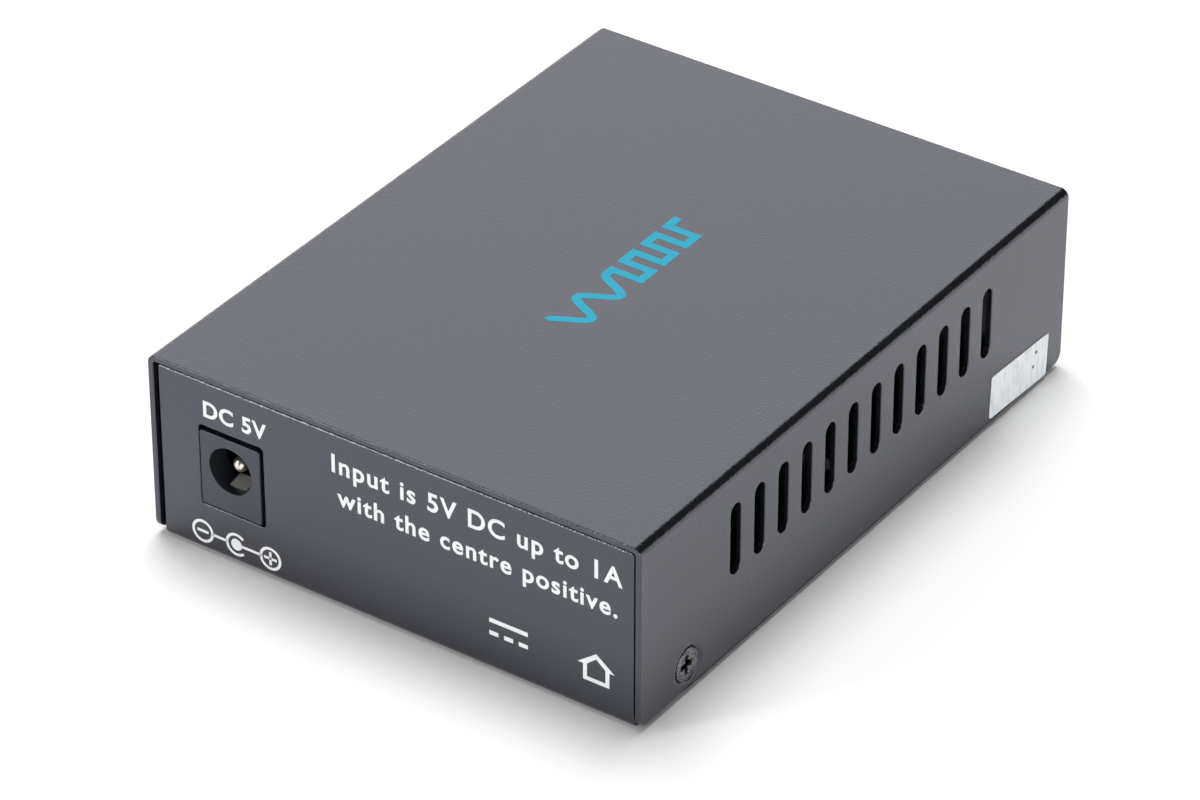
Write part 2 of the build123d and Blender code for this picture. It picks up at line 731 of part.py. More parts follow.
def make_electrolytics():
    """Two cans beside the inlet, each with a crimped groove near its foot"""
    inner = capacitor_radius - capacitor_bead
    groove = capacitor_groove_height
    can = turned([(0, 0), (inner, 0), (capacitor_radius, capacitor_bead),
                  (capacitor_radius, groove - capacitor_bead), (inner, groove),
                  (capacitor_radius, groove + capacitor_bead),
                  (capacitor_radius, capacitor_height - capacitor_edge),
                  (capacitor_radius - capacitor_edge, capacitor_height), (0, capacitor_height)])
    first = board_end - capacitor_clear - capacitor_radius
    second = first - 2 * capacitor_radius - capacitor_clear
    return [Pos(capacitor_x, y, board_top) * can for y in (first, second)]


def make_inductor():
    """Square ferrite block with the round core showing on top"""
    body = extrude(RectangleRounded(inductor_size, inductor_size, inductor_corner), inductor_height)
    ring = Circle(inductor_drum + inductor_groove) - Circle(inductor_drum)
    body -= Pos(0, 0, inductor_height) * extrude(ring, -inductor_groove)
    return Pos(inductor_x, inductor_y, board_top) * body


def chip_row(place, count, height):
    """Row of small two-ended chips on the board"""
    body = Pos(0, 0, height / 2) * Box(chip_part_width, chip_part_length, height)
    return [Pos(*place, board_top) * spot * body for spot in GridLocations(chip_part_pitch, 1, count, 1)]


def make_label():
    """Paper label, a little askew, low on the left side wall near the front"""
    middle = (-half_width, label_from_front - half_depth, label_middle)
    wall = Plane(origin=middle, x_dir=(0, -1, 0), z_dir=(-1, 0, 0))
    paper = extrude(RectangleRounded(label_length, label_height, label_corner), label_thickness)
    return wall * Rot(0, 0, -label_tilt) * paper


def led_columns():
    """Middles of the columns of lamps"""
    first = led_middle - (led_column_count - 1) / 2 * led_pitch
    return [first + column * led_pitch for column in range(led_column_count)]


def led_places():
    """Middles of the lamps, across and up"""
    return [(x, board_top + row) for x in led_columns() for row in led_rows]


def contact_tails():
    """Places of the copper port's contacts in the board, in two staggered rows"""
    first = rj45_x - (contact_count - 1) / 2 * contact_pitch
    return [(first + number * contact_pitch, tail_rows[number % 2]) for number in range(contact_count)]


def shield_tab_places():
    """Places of the shield's two tabs in the board"""
    wall = (rj45_width - rj45_shield) / 2
    return [(rj45_x + side * wall, port_face + shield_tab_from_front) for side in (-1, 1)]


def fibre_axes():
    """Middles of the two fibre openings"""
    return [transceiver_x + side * fibre_pitch / 2 for side in (-1, 1)]


def fibre_pin_places():
    """Places of the fibre port's pins in the board"""
    first = transceiver_x - (fibre_pin_count - 1) / 2 * fibre_pin_pitch
    row = transceiver_back - fibre_pin_row
    return [(first + number * fibre_pin_pitch, row) for number in range(fibre_pin_count)]


def post_places():
    """Places of the fibre port's two posts in the board"""
    reach = transceiver_width / 2 - post_inset
    return [(transceiver_x + side * reach, port_face + post_from_front) for side in (-1, 1)]


def make_chip_leads():
    """Leads on all four sides of the converter chip"""
    return gull_wings(chip_place, chip_size / 2, chip_height, chip_lead_width, chip_lead_pitch,
                      chip_lead_count, (0, 90, 180, 270))


def make_transformer_leads():
    """Leads on the two long sides of the network transformer"""
    return gull_wings(transformer_place, transformer_depth / 2, transformer_height, transformer_lead_width,
                      transformer_lead_pitch, transformer_lead_count, (90, 270))


def make_memory_leads():
    """Leads on two sides of the configuration memory"""
    return gull_wings(memory_place, memory_width / 2, memory_height, memory_lead_width, memory_lead_pitch,
                      memory_lead_count, (0, 180))


def make_regulator_leads():
    """Three leads of the voltage regulator and the wide tab behind it"""
    half_size = regulator_depth / 2
    leads = gull_wings(regulator_place, half_size, regulator_height, regulator_lead_width,
                       regulator_lead_pitch, regulator_lead_count, (270,))
    return leads + gull_wings(regulator_place, half_size, regulator_height, regulator_tab, 1, 1, (90,))


def make_diode_leads():
    """One wide lead at each end of the input diode"""
    return gull_wings(diode_place, diode_length / 2, diode_height, diode_lead_width, 1, 1, (90, 270))


def make_chip_capacitors():
    """Small capacitors in two rows"""
    return (chip_row(capacitor_row, capacitor_row_count, chip_capacitor_height)
            + chip_row(port_row, port_row_count, chip_capacitor_height))


def all_pieces():
    """Every node of the converter with its solids"""
    return {
        "cover": [make_cover()],
        "base_tray": [make_tray()],
        "cover_screws": make_cover_screws(),
        "side_label": [make_label()],
        "circuit_board": [make_board()],
        "board_standoffs": make_standoffs(),
        "board_screws": make_board_screws(),
        "dc_jack_housing": [make_jack_housing()],
        "dc_jack_pin": [make_jack_pin()],
        "dc_jack_spring": [make_jack_spring()],
        "rj45_shield": [make_rj45_shield()],
        "rj45_insert": [make_rj45_insert()],
        "rj45_contacts": make_rj45_contacts(),
        "transceiver_housing": [make_transceiver_housing()],
        "transceiver_clips": make_transceiver_clips(),
        "transceiver_sleeves": make_transceiver_sleeves(),
        "transceiver_pins": make_transceiver_pins(),
        "led_holders": make_led_holders(),
        "status_leds": make_status_leds(),
        "converter_chip": [package(chip_place, chip_size, chip_size, chip_height)],
        "converter_chip_leads": make_chip_leads(),
        "network_transformer": [package(transformer_place, transformer_width, transformer_depth,
                                        transformer_height)],
        "network_transformer_leads": make_transformer_leads(),
        "configuration_memory": [package(memory_place, memory_width, memory_depth, memory_height)],
        "configuration_memory_leads": make_memory_leads(),
        "voltage_regulator": [package(regulator_place, regulator_width, regulator_depth, regulator_height)],
        "voltage_regulator_leads": make_regulator_leads(),
        "input_diode": [package(diode_place, diode_width, diode_length, diode_height)],
        "input_diode_leads": make_diode_leads(),
        "crystal_can": [make_crystal()],
        "power_inductor": [make_inductor()],
        "electrolytic_capacitors": make_electrolytics(),
        "chip_capacitors": make_chip_capacitors(),
        "chip_resistors": chip_row(resistor_row, resistor_row_count, chip_resistor_height),
    }


os.makedirs("parts", exist_ok=True)
for node_name, solids in all_pieces().items():
    export_step(Compound(solids), os.path.join("parts", node_name + ".step"))
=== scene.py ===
from math import cos, pi, radians, sin

import bmesh
import bpy
from mathutils import Matrix, Quaternion, Vector


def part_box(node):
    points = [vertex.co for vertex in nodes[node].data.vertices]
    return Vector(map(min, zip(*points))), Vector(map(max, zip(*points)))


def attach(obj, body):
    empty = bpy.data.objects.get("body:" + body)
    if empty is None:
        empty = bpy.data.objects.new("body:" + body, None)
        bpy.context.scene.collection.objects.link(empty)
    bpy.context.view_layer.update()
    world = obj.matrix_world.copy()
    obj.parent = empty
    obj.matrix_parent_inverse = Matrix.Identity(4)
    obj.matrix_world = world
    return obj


# Fibre media converter: a black powder-coated sheet steel box seen from its rear left corner.
# Lengths are in millimetres and turned to metres where a mesh, a pattern or a lamp takes them.

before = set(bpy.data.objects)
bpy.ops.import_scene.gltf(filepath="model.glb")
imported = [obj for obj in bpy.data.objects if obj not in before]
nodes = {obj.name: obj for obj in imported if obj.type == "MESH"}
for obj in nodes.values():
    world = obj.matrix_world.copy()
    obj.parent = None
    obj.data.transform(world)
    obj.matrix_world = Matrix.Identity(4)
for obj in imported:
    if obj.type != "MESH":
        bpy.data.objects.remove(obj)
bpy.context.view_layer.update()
scene = bpy.context.scene
MM = 0.001

# Camera, at the photograph's view
VIEW_AZIMUTH = 214.713
VIEW_ELEVATION = 33.864
VIEW_AIM = (23.83, -30.49, -18.93)
VIEW_DISTANCE = 752.9
VIEW_LENS = 172.18
SENSOR_WIDTH = 36.0

# Studio: brightness of the room, and of its dark corner in that direction
ROOM_LEVEL = 0.14
CORNER_LEVEL = 0.02
DARK_CORNER = (-0.38, -0.82, 0.42)

# White floor in metres: from the middle to its wall, the wall's height, and how far the floor lies
# below the tray, so that the two faces don't share a plane
FLOOR_REACH = 4.0
WALL_HEIGHT = 0.55
FLOOR_DROP = 0.00002

# Floor's own glow to the eye: where it starts and is full, in metres, and its level near the object
GLOW_START = 0.2
GLOW_FULL = 1.2
GLOW_NEAR = 0.03

# Edges: how far the coat and the moulds round them, the least turn in degrees that counts as an edge,
# and the turn below which facets count as one flat face
SHEET_EDGE = 0.14
PANEL_TOP_EDGE = 0.39
MOULDED_EDGE = 0.08
SCREW_EDGE = 0.1
EDGE_TURN = 32
FLAT_TURN = 0.3

# Powder coat: width of its pebbles and of the waves of its orange peel
COAT_PEBBLE = 0.28
COAT_PEEL = 1.8

# Screws: how far out from the middle the recess and the head lie, the head's radius and the width of painted
# shade round its rim,
# # and the place of a screw along and up the wall
RECESS_FLOOR = 34.9
HEAD_FACE = 35.25
HEAD_RADIUS = 2.25
HEAD_SHADE_RIM = 0.12
SCREW_PLACE = (37.1, 3.95)

# Board: length of the small chips, and the share of it from the middle to a tinned end. The wave texture
# of the traces runs through 20 radians per unit, so that they repeat every 2 pi times their length
CHIP_LENGTH = 2.0
CHIP_BODY = 0.3
TRACE_LENGTH = 1.6
TRACE_RADIANS = 20

# Print on the rear panel: places are across and up from the middle of the underside. A legend line has
# its words, place and letter height. Letters are set apart by the spread and thickened by the weight
INK_THICKNESS = 0.02
RATING_PLACE = (23.05, 20.85)
RATING_HEIGHT = 3.1
RATING_SPREAD = 1.1
RATING_WEIGHT = 0.09
LEGEND_LINES = (
    ("Input is 5V DC up to 1A", -11.9, 20.5, 3.6),
    ("with the centre positive.", -12.15, 15.95, 3.45),
)
LEGEND_SPREAD = 1.14
LEGEND_WEIGHT = 0.075

# Polarity sign: from ring to ring, a ring's radius, the stroke, the dot and where the line leaves it, and
# half the minus and the plus
POLARITY_PLACE = (23.4, 2.88)
POLARITY_STEP = 5.1
POLARITY_RADIUS = 1.63
POLARITY_STROKE = 0.38
POLARITY_DOT = 0.82
POLARITY_LINE = 0.75
POLARITY_MINUS = 0.85
POLARITY_PLUS = 0.95

# Sign for direct current: half its line, half a dash, from dash to dash, and half the rows' distance
CURRENT_PLACE = (-16.65, 6.4)
CURRENT_LINE = 2.75
CURRENT_DASH = 0.65
CURRENT_STEP = 2.1
CURRENT_ROW = 0.9
CURRENT_STROKE = 0.6

# House sign: half outlines of the house and of the room in it, from the foot up to the ridge
HOUSE_PLACE = (-29.05, 6.4)
HOUSE_OUTSIDE = ((1.85, -2.0), (1.85, 0.2), (2.6, 0.2))
HOUSE_RIDGE = 2.2
HOUSE_INSIDE = ((1.3, -1.45), (1.3, 0.35))
HOUSE_CEILING = 1.45

# Label on the left wall, and the dots printed on it from its middle
LABEL_PLACE = (-36.55, 4.05)
LABEL_TILT = -2.7
LABEL_DOTS = ((3.9, 1.6), (3.4, -0.3))
LABEL_DOT = 0.24

# Motif on the roof: square pulses that turn into a wave, from its start along the roof
MOTIF_PLACE = (-1.45, -0.1)
MOTIF_START = -13.9
MOTIF_STROKE = 1.15
PULSE_COUNT = 3
PULSE_WIDTH = 2.4
PULSE_HEIGHT = 4.2
WAVE_COUNT = 2
WAVE_LENGTH = 6.2
WAVE_STEPS = 72


def linear(hex_colour):
    """Linear colour of an sRGB hex value"""
    channels = [int(hex_colour[start:start + 2], 16) / 255 for start in (0, 2, 4)]
    return [c / 12.92 if c <= 0.04045 else ((c + 0.055) / 1.055) ** 2.4 for c in channels] + [1.0]


def per_mm(size):
    """Scale of a pattern whose features are that many millimetres wide"""
    return 1 / (size * MM)


def add(tree, kind, inputs=None, **settings):
    """Adds a node: settings are its properties, and inputs are values for its sockets or outputs to link"""
    node = tree.nodes.new(kind)
    for name, value in settings.items():
        setattr(node, name, value)
    for socket, value in (inputs or {}).items():
        if isinstance(value, bpy.types.NodeSocket):
            tree.links.new(value, node.inputs[socket])
        else:
            node.inputs[socket].default_value = value
    return node


def noise(tree, place, size, detail):
    """Soft noise with features that many millimetres wide"""
    node = add(tree, "ShaderNodeTexNoise", {"Vector": place, "Scale": per_mm(size), "Detail": detail})
    return node.outputs["Fac"]


def blended(tree, share, first, second):
    """Colour that goes from the first to the second as the share rises from 0 to 1"""
    node = add(tree, "ShaderNodeMix", {"Factor": share, "A": first, "B": second}, data_type="RGBA")
    return node.outputs["Result"]


def ranged(tree, value, start, end, low=0.0, high=1.0):
    """Value taken from the range start to end over to the range low to high, and held at its ends"""
    node = add(tree, "ShaderNodeMapRange", {"Value": value, "From Min": start, "From Max": end,
                                            "To Min": low, "To Max": high})
    return node.outputs["Result"]


def reckoned(tree, operation, *values):
    """Result of one operation, such as ADD, on one or two values"""
    return add(tree, "ShaderNodeMath", dict(enumerate(values)), operation=operation).outputs["Value"]


def bumped(tree, height, depth, *below):
    """Normal of a skin that rises by that many millimetres, over the normal of a skin below if any"""
    sockets = {"Height": height, "Distance": depth * MM}
    for normal in below:
        sockets["Normal"] = normal
    return add(tree, "ShaderNodeBump", sockets).outputs["Normal"]


def blank_material(name):
    """New material with an empty node tree, and the object's own coordinates for its patterns"""
    material = bpy.data.materials.new(name)
    material.use_nodes = True
    tree = material.node_tree
    tree.nodes.clear()
    place = add(tree, "ShaderNodeTexCoord").outputs["Object"]
    return material, tree, place


def finished(material, tree, sockets):
    """Ends a material with its shader"""
    shader = add(tree, "ShaderNodeBsdfPrincipled", sockets)
    add(tree, "ShaderNodeOutputMaterial", {"Surface": shader.outputs["BSDF"]})
    return material


def powder_coat():
    """Black polyester powder coat, sprayed on steel and baked. The skin is black in itself, with fine
    pebbles and a slow orange peel: it reads grey where it mirrors the bright studio, and glints at bends
    and edges"""
    material, tree, place = blank_material("black_powder_coat")
    cloud = noise(tree, place, 18, 2.0)
    peel = noise(tree, place, COAT_PEEL, 1.0)
    pebbles = noise(tree, place, COAT_PEBBLE, 0.0)
    tone = blended(tree, cloud, linear("141518"), linear("1b1c20"))
    polish = ranged(tree, cloud, 0, 1, 0.18, 0.24)
    slow = bumped(tree, peel, 0.008)
    fine = bumped(tree, pebbles, 0.03, slow)
    return finished(material, tree, {"Base Color": tone, "Roughness": polish, "IOR": 1.85,
                                     "Specular Tint": linear("e8ebff"), "Normal": fine})


def black_zinc():
    """Black zinc plate on screws, tumbled in a barrel: dark grey metal, scuffed and grainy, with painted
    shade that darkens the cross recess and a thin ring round the head's rim"""
    material, tree, place = blank_material("black_zinc_plate")
    grain = noise(tree, place, 0.2, 3.0)
    scuffs = ranged(tree, grain, 0.42, 0.64)
    tone = blended(tree, scuffs, linear("454648"), linear("a8a9ab"))
    spot = add(tree, "ShaderNodeSeparateXYZ", {"Vector": place})
    from_middle = reckoned(tree, "ABSOLUTE", spot.outputs["X"])
    # Painted shade: the colour goes black down in the cross recess and in a thin ring round the head's rim,
    # where shade falls
    raised = ranged(tree, from_middle, RECESS_FLOOR * MM, HEAD_FACE * MM)
    along = reckoned(tree, "ABSOLUTE", spot.outputs["Y"])
    beside = add(tree, "ShaderNodeCombineXYZ", {"Y": along, "Z": spot.outputs["Z"]})
    axis = (0, SCREW_PLACE[0] * MM, SCREW_PLACE[1] * MM)
    radius = add(tree, "ShaderNodeVectorMath", {0: beside.outputs["Vector"], 1: axis}, operation="DISTANCE")
    inside = ranged(tree, radius.outputs["Value"], HEAD_RADIUS * MM, (HEAD_RADIUS - HEAD_SHADE_RIM) * MM)
    unshaded_share = reckoned(tree, "MULTIPLY", raised, inside)
    painted_shade_tone = blended(tree, unshaded_share, linear("0c0c0d"), tone)
    return finished(material, tree, {"Base Color": painted_shade_tone, "Metallic": 1.0, "Roughness": 0.4,
                                     "Normal": bumped(tree, grain, 0.05)})


def coated_paper():
    """Coated white paper, die cut: bright and nearly matt, with pale blue streaks left by worn print. The
    fibres are coarser than real ones, so that they show"""
    material, tree, place = blank_material("coated_paper")
    upwards = add(tree, "ShaderNodeMapping", {"Vector": place, "Scale": (1.0, 1.0, 0.25)})
    streaks = noise(tree, upwards.outputs["Vector"], 0.7, 2.0)
    fade = ranged(tree, streaks, 0.45, 0.65)
    tone = blended(tree, fade, linear("f6f8fa"), linear("e2ebf1"))
    fibres = noise(tree, place, 0.25, 2.0)
    return finished(material, tree, {"Base Color": tone, "Roughness": 0.6,
                                     "Normal": bumped(tree, fibres, 0.004)})


def solder_mask():
    """Green solder mask over copper traces on glass laminate: glossy, with the traces as paler raised
    lines"""
    material, tree, place = blank_material("solder_mask")
    patches = noise(tree, place, 9, 0.0)
    lines = add(tree, "ShaderNodeTexWave", {"Vector": place, "Scale": per_mm(TRACE_LENGTH) / TRACE_RADIANS,
                                            "Distortion": 3.0, "Detail": 0.0, "Detail Scale": 0.4})
    traces = ranged(tree, lines.outputs["Fac"], 0.55, 0.6)
    paler = reckoned(tree, "MULTIPLY", traces, patches)
    tone = blended(tree, paler, linear("0a4a2c"), linear("1f8a55"))
    return finished(material, tree, {"Base Color": tone, "Roughness": 0.32,
                                     "Normal": bumped(tree, traces, 0.035)})


def moulded(name, dark, light, roughness, grain, depth):
    """Moulded plastic: nearly one colour, with the even grain that the tool leaves, a little coarser than
    real so that it shows"""
    material, tree, place = blank_material(name)
    skin = noise(tree, place, grain, 3.0)
    tone = blended(tree, skin, linear(dark), linear(light))
    polish = ranged(tree, skin, 0, 1, roughness - 0.05, roughness + 0.05)
    return finished(material, tree, {"Base Color": tone, "Roughness": polish, "IOR": 1.7,
                                     "Specular Tint": linear("e4e9ff"),
                                     "Normal": bumped(tree, skin, depth)})


def plated(name, dark, light, roughness, stretch, line):
    """Plated or drawn metal: bright, with lines along the way it was drawn, rolled or ground, coarser than
    real ones so that they show"""
    material, tree, place = blank_material(name)
    drawn = add(tree, "ShaderNodeMapping", {"Vector": place, "Scale": stretch})
    lines = noise(tree, drawn.outputs["Vector"], line, 3.0)
    tone = blended(tree, lines, linear(dark), linear(light))
    polish = ranged(tree, lines, 0, 1, roughness - 0.06, roughness + 0.06)
    return finished(material, tree, {"Base Color": tone, "Metallic": 1.0, "Roughness": polish,
                                     "Normal": bumped(tree, lines, 0.004)})


def lamp_resin():
    """Green tinted epoxy of a status lamp, cast with a smooth dome: clear at the rim, milky in the middle"""
    material, tree, place = blank_material("cast_epoxy")
    milk = noise(tree, place, 1.2, 1.0)
    tone = blended(tree, milk, linear("7fb85a"), linear("b5dc92"))
    return finished(material, tree, {"Base Color": tone, "Roughness": 0.12, "IOR": 1.54,
                                     "Transmission Weight": 0.4})


def shrink_sleeve():
    """Dark blue shrink sleeve on an aluminium can: glossy, with a pale stripe on one side and bare metal on
    top"""
    material, tree, place = blank_material("shrink_sleeve")
    surface = add(tree, "ShaderNodeNewGeometry")
    facing = add(tree, "ShaderNodeSeparateXYZ", {"Vector": surface.outputs["Normal"]})
    stripe = reckoned(tree, "LESS_THAN", facing.outputs["X"], -0.88)
    top = reckoned(tree, "GREATER_THAN", facing.outputs["Z"], 0.9)
    film = noise(tree, place, 1.5, 2.0)
    sleeve = blended(tree, film, linear("15182a"), linear("1d2136"))
    striped = blended(tree, stripe, sleeve, linear("b9bec8"))
    tone = blended(tree, top, striped, linear("c9cbcd"))
    return finished(material, tree, {"Base Color": tone, "Metallic": top, "Roughness": 0.3,
                                     "Normal": bumped(tree, film, 0.01)})


def chip_part(name, node, dark, light, rows):
    """Small two-ended ceramic chips in one or two rows: a glazed body with matt tinned ends"""
    material, tree, place = blank_material(name)
    length = CHIP_LENGTH * MM
    low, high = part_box(node)
    middle = (low.y + high.y) / 2
    offset = (high.y - low.y - length) / 2 if rows == 2 else 0.0
    spot = add(tree, "ShaderNodeSeparateXYZ", {"Vector": place})
    from_middle = reckoned(tree, "ABSOLUTE", reckoned(tree, "SUBTRACT", spot.outputs["Y"], middle))
    from_row = reckoned(tree, "ABSOLUTE", reckoned(tree, "SUBTRACT", from_middle, offset))
    tinned = reckoned(tree, "GREATER_THAN", from_row, CHIP_BODY * length)
    speckle = noise(tree, place, 0.2, 2.0)
    body = blended(tree, speckle, linear(dark), linear(light))
    tone = blended(tree, tinned, body, linear("c2c4c5"))
    polish = ranged(tree, speckle, 0, 1, 0.32, 0.46)
    return finished(material, tree, {"Base Color": tone, "Metallic": tinned, "Roughness": polish})


def screen_ink(name, dark, light):
    """Screen-print ink on the coat: opaque and matt, with the coat's pebbles just showing through"""
    material, tree, place = blank_material(name)
    pebbles = noise(tree, place, COAT_PEBBLE, 2.0)
    tone = blended(tree, pebbles, linear(dark), linear(light))
    return finished(material, tree, {"Base Color": tone, "Roughness": 0.55,
                                     "Normal": bumped(tree, pebbles, 0.01)})


def dress(material, *names):
    """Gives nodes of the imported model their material"""
    for name in names:
        for slot in nodes[name].material_slots:
            slot.link = "OBJECT"
            slot.material = material


def dress_housing():
    """Materials of the housing, its screws and its label"""
    dress(powder_coat(), "cover", "base_tray")
    dress(black_zinc(), "cover_screws")
    dress(coated_paper(), "side_label")


def dress_ports(along):
    """Materials of the inlet, the ports and the lamps, with metal lines along the ports"""
    nylon = moulded("glass_filled_nylon", "191b20", "25282f", roughness=0.36, grain=0.3, depth=0.012)
    polyester = moulded("moulded_polyester", "121315", "1b1c1e", roughness=0.36, grain=0.4, depth=0.008)
    grey_polyester = moulded("grey_polyester", "8a8c90", "9a9ca0", roughness=0.4, grain=0.4, depth=0.008)
    nickel = plated("nickel_plate", "cbc5ba", "e0dbd2", roughness=0.3, stretch=along, line=0.3)
    spring = plated("nickel_spring_strip", "d2d2d0", "eaeae8", roughness=0.62, stretch=along, line=0.2)
    tin = plated("tin_plate", "b3b6b9", "cccfd1", roughness=0.3, stretch=along, line=0.4)
    gold = plated("gold_plate", "c99a43", "e2bb6a", roughness=0.2, stretch=along, line=0.25)
    steel = plated("ground_stainless_steel", "a9aaab", "c1c2c3", roughness=0.24, stretch=along, line=0.2)
    dress(nylon, "dc_jack_housing")
    dress(nickel, "dc_jack_pin")
    dress(spring, "dc_jack_spring")
    dress(tin, "rj45_shield")
    dress(polyester, "rj45_insert", "transceiver_housing", "led_holders")
    dress(gold, "rj45_contacts")
    dress(grey_polyester, "transceiver_clips")
    dress(steel, "transceiver_sleeves")
    dress(lamp_resin(), "status_leds")


def dress_board(upright, even):
    """Materials of the board and the parts on it, with metal lines upright or even on all sides"""
    zinc = plated("bright_zinc_plate", "b4b8bb", "cdd0d2", roughness=0.32, stretch=upright, line=0.3)
    tinned = plated("tinned_copper", "b9bbbb", "d0d2d2", roughness=0.34, stretch=even, line=0.3)
    nickel = plated("drawn_nickel_steel", "b3b0a9", "ccc9c2", roughness=0.25, stretch=upright, line=0.3)
    epoxy = moulded("epoxy_resin", "161617", "202021", roughness=0.55, grain=0.15, depth=0.01)
    ferrite = moulded("sintered_ferrite", "3a3938", "4c4b49", roughness=0.72, grain=0.25, depth=0.03)
    tan_chips = chip_part("tan_ceramic", "chip_capacitors", "a37f58", "b8946b", rows=2)
    dark_chips = chip_part("glazed_ceramic", "chip_resistors", "17181b", "222327", rows=1)
    dress(solder_mask(), "circuit_board")
    dress(zinc, "board_standoffs", "board_screws")
    dress(tinned, "transceiver_pins", "converter_chip_leads", "network_transformer_leads",
          "configuration_memory_leads", "voltage_regulator_leads", "input_diode_leads")
    dress(epoxy, "converter_chip", "network_transformer", "configuration_memory", "voltage_regulator",
          "input_diode")
    dress(nickel, "crystal_can")
    dress(shrink_sleeve(), "electrolytic_capacitors")
    dress(ferrite, "power_inductor")
    dress(tan_chips, "chip_capacitors")
    dress(dark_chips, "chip_resistors")


def mesh_group(name):
    """New geometry node group with one mesh in and one mesh out"""
    group = bpy.data.node_groups.new(name, "GeometryNodeTree")
    for way in ("INPUT", "OUTPUT"):
        group.interface.new_socket("Geometry", in_out=way, socket_type="NodeSocketGeometry")
    source = add(group, "NodeGroupInput")
    return group, source.outputs[0]


def joined_facets():
    """Geometry nodes that join a node's facets into one smooth skin"""
    group, mesh = mesh_group("joined_facets")
    merged = add(group, "GeometryNodeMergeByDistance", {"Geometry": mesh, "Distance": 0.001 * MM})
    plain = add(group, "GeometryNodeRemoveAttribute",
                {"Geometry": merged.outputs[0], "Name": "custom_normal"})
    edges = add(group, "GeometryNodeSetShadeSmooth", {"Geometry": plain.outputs[0]}, domain="EDGE")
    faces = add(group, "GeometryNodeSetShadeSmooth", {"Geometry": edges.outputs[0]}, domain="FACE")
    add(group, "NodeGroupOutput", {"Geometry": faces.outputs[0]})
    return group


def panel_weights():
    """Geometry nodes that mark how far each edge of the tray is rounded: the coat runs thick on the panels'
    tops"""
    group, mesh = mesh_group("panel_weights")
    turn = add(group, "GeometryNodeInputMeshEdgeAngle")
    sharp = reckoned(group, "GREATER_THAN", turn.outputs["Unsigned Angle"], radians(EDGE_TURN))
    point = add(group, "GeometryNodeInputPosition")
    place = add(group, "ShaderNodeSeparateXYZ", {"Vector": point.outputs[0]})
    just_below_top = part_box("base_tray")[1].z - 0.1 * MM
    at_top = reckoned(group, "GREATER_THAN", place.outputs["Z"], just_below_top)
    share = ranged(group, at_top, 0, 1, SHEET_EDGE / PANEL_TOP_EDGE)
    weight = reckoned(group, "MULTIPLY", sharp, share)
    marked = add(group, "GeometryNodeStoreNamedAttribute",
                 {"Geometry": mesh, "Name": "bevel_weight_edge", "Value": weight},
                 data_type="FLOAT", domain="EDGE")
    add(group, "NodeGroupOutput", {"Geometry": marked.outputs[0]})
    return group


def round_edges(name, width, weights=None):
    """Rounds the edges of a node by that width, as a coat or a mould does, or less where weights say so"""
    modifiers = nodes[name].modifiers
    modifiers.new("joined", "NODES").node_group = joined_facets()
    flat = modifiers.new("flat", "DECIMATE")
    flat.decimate_type = "DISSOLVE"
    flat.angle_limit = radians(FLAT_TURN)
    if weights:
        modifiers.new("weights", "NODES").node_group = weights
    rounding = modifiers.new("rounding", "BEVEL")
    rounding.width = width * MM
    rounding.segments = 3
    rounding.limit_method = "WEIGHT" if weights else "ANGLE"
    rounding.angle_limit = radians(EDGE_TURN)
    rounding.use_clamp_overlap = False
    rounding.loop_slide = False
    normals = modifiers.new("normals", "WEIGHTED_NORMAL")
    normals.keep_sharp = True
    normals.weight = 100


def on_rear_panel(across, up):
    """Place on the rear panel's face: its right and up as one looks at it, then outwards"""
    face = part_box("base_tray")[1].y
    return Matrix(((-MM, 0, 0, across * MM), (0, 0, MM, face), (0, MM, 0, up * MM), (0, 0, 0, 1)))


def on_roof(across, along):
    """Place on the roof: marks run from front to rear, with their upper side towards the left wall"""
    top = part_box("cover")[1].z
    return Matrix(((0, -MM, 0, across * MM), (MM, 0, 0, along * MM), (0, 0, MM, top), (0, 0, 0, 1)))


def on_label(along, up):
    """Place on the label's face: forwards, up and outwards, tilted as the label is"""
    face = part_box("side_label")[0].x
    tilt = Matrix.Rotation(radians(LABEL_TILT), 4, "Z")
    flat = Matrix(((0, 0, -MM, face), (-MM, 0, 0, along * MM), (0, MM, 0, up * MM), (0, 0, 0, 1)))
    return flat @ tilt


def closed_outlines(outlines):
    """Flat curve from closed outlines; an outline inside another is a hole"""
    curve = bpy.data.curves.new("outlines", "CURVE")
    for outline in outlines:
        spline = curve.splines.new("POLY")
        spline.points.add(len(outline) - 1)
        for point, (u, v) in zip(spline.points, outline):
            point.co = (u, v, 0, 1)
        spline.use_cyclic_u = True
    return curve


def lettering(words, height, spread, weight):
    """Flat curve of plain letters about their middle"""
    curve = bpy.data.curves.new("letters", "FONT")
    curve.body = words
    curve.size = height
    curve.space_character = spread
    curve.offset = weight
    curve.align_x = "CENTER"
    curve.align_y = "CENTER"
    return curve


def printed(name, curve, place, ink):
    """Thin layer of ink in the shape of a flat curve"""
    curve.dimensions = "2D"
    curve.fill_mode = "BOTH"
    curve.extrude = INK_THICKNESS / 2
    maker = bpy.data.objects.new(name + "_outline", curve)
    scene.collection.objects.link(maker)
    shapes = bpy.context.evaluated_depsgraph_get()
    mesh = bpy.data.meshes.new_from_object(maker.evaluated_get(shapes))
    bpy.data.objects.remove(maker)
    layer = bmesh.new()
    layer.from_mesh(mesh)
    bmesh.ops.remove_doubles(layer, verts=layer.verts, dist=INK_THICKNESS / 10)
    bmesh.ops.translate(layer, verts=layer.verts, vec=(0, 0, INK_THICKNESS / 2))
    bmesh.ops.transform(layer, matrix=place, verts=layer.verts)
    bmesh.ops.recalc_face_normals(layer, faces=layer.faces)
    layer.to_mesh(mesh)
    layer.free()
    mesh.materials.clear()
    mesh.materials.append(ink)
    piece = bpy.data.objects.new(name, mesh)
    scene.collection.objects.link(piece)
    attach(piece, "root")


